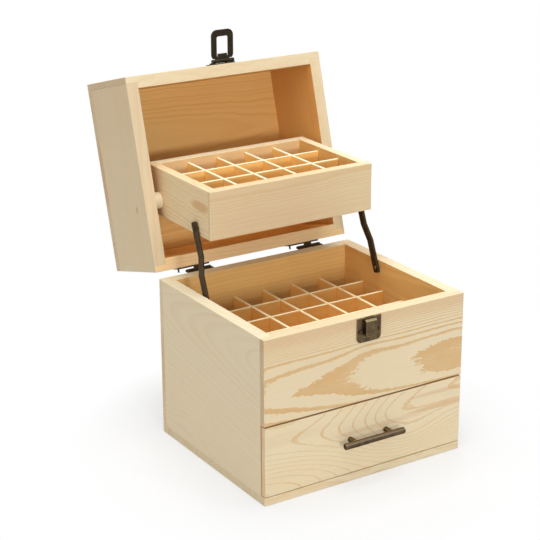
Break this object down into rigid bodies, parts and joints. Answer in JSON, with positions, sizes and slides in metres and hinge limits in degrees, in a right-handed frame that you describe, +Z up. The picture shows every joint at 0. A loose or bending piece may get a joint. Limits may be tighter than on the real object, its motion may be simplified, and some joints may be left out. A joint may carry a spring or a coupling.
{
  "type": "wooden storage box with drawer and lift-out lid tray for essential oil bottles",
  "caption": "Hinged wooden box for small bottles: slotted compartment, drawer below, and a slotted tray that hangs level in the lid on metal link arms.",
  "frame": {"origin": "middle of the underside of the case's bottom board", "axes": "+X to the right seen from the front, -Y out of the front where the drawer opens, +Z up"},
  "size_m": [0.22, 0.3416, 0.3779],
  "materials": {
    "pine": "bare sanded pine, pale with orange-brown grain",
    "thin_wood": "thin bare wood, sanded, a little plainer than the boards",
    "antique_bronze": "dark antique bronze plating, worn lighter on its edges"
  },
  "bodies": {
    "case": {"bottom_board": "pine", "left_side": "pine", "right_side": "pine", "back_board": "pine", "front_board": "pine", "middle_shelf": "thin_wood", "case_long_dividers": "thin_wood", "case_cross_dividers": "thin_wood", "left_hinge_case_leaf": "antique_bronze", "right_hinge_case_leaf": "antique_bronze", "left_hinge_pin": "antique_bronze", "right_hinge_pin": "antique_bronze", "hinge_case_screws": "antique_bronze", "latch_plate": "antique_bronze", "latch_catch": "antique_bronze", "latch_screws": "antique_bronze", "arm_case_screws": "antique_bronze", "arm_case_washers": "antique_bronze"},
    "drawer": {"drawer_front": "pine", "drawer_left_side": "pine", "drawer_right_side": "pine", "drawer_back": "pine", "drawer_bottom": "thin_wood", "drawer_long_dividers": "thin_wood", "drawer_cross_dividers": "thin_wood", "handle_bar": "antique_bronze", "handle_posts": "antique_bronze", "handle_screws": "antique_bronze"},
    "lid": {"lid_top_board": "pine", "lid_left_side": "pine", "lid_right_side": "pine", "lid_front_board": "pine", "lid_back_board": "pine", "left_hinge_lid_leaf": "antique_bronze", "right_hinge_lid_leaf": "antique_bronze", "hinge_lid_screws": "antique_bronze", "hasp_bracket": "antique_bronze", "hasp_pin": "antique_bronze", "hasp_screws": "antique_bronze", "tray_spacers": "pine", "tray_pivot_screws": "antique_bronze"},
    "hasp_loop": {"hasp_loop": "antique_bronze"},
    "tray": {"tray_front_board": "pine", "tray_back_board": "pine", "tray_left_side": "pine", "tray_right_side": "pine", "tray_bottom": "thin_wood", "tray_long_dividers": "thin_wood", "tray_cross_dividers": "thin_wood", "arm_tray_screws": "antique_bronze", "arm_tray_washers": "antique_bronze"},
    "left_arm": {"left_arm": "antique_bronze"},
    "right_arm": {"right_arm": "antique_bronze"}
  },
  "joints": [
    {"name": "lid_hinge", "type": "hinge", "parent": "case", "child": "lid", "pos_m": [0, 0.0982, 0.1603], "axis": [1, 0, 0], "range_deg": [0, 105.5]},
    {"name": "tray_pivot", "type": "hinge", "parent": "lid", "child": "tray", "pos_m": [0, 0.1252, 0.2273], "axis": [1, 0, 0], "range_deg": [-105.5, 0]},
    {"name": "left_arm_pivot", "type": "hinge", "parent": "case", "child": "left_arm", "pos_m": [0, 0.0255, 0.1515], "axis": [1, 0, 0], "range_deg": [0, 105.5]},
    {"name": "right_arm_pivot", "type": "hinge", "parent": "case", "child": "right_arm", "pos_m": [0, 0.0255, 0.1515], "axis": [1, 0, 0], "range_deg": [0, 105.5]},
    {"name": "drawer_slide", "type": "slide", "parent": "case", "child": "drawer", "axis": [0, -1, 0], "range_m": [0, 0.125]},
    {"name": "hasp_pivot", "type": "hinge", "parent": "lid", "child": "hasp_loop", "pos_m": [0, 0.15613, 0.34711], "axis": [1, 0, 0], "range_deg": [-95, 74.5]}
  ],
  "couplings": [
    {"joint": "tray_pivot", "follows": "lid_hinge", "ratio": -1},
    {"joint": "left_arm_pivot", "follows": "lid_hinge", "ratio": 1},
    {"joint": "right_arm_pivot", "follows": "lid_hinge", "ratio": 1}
  ]
}
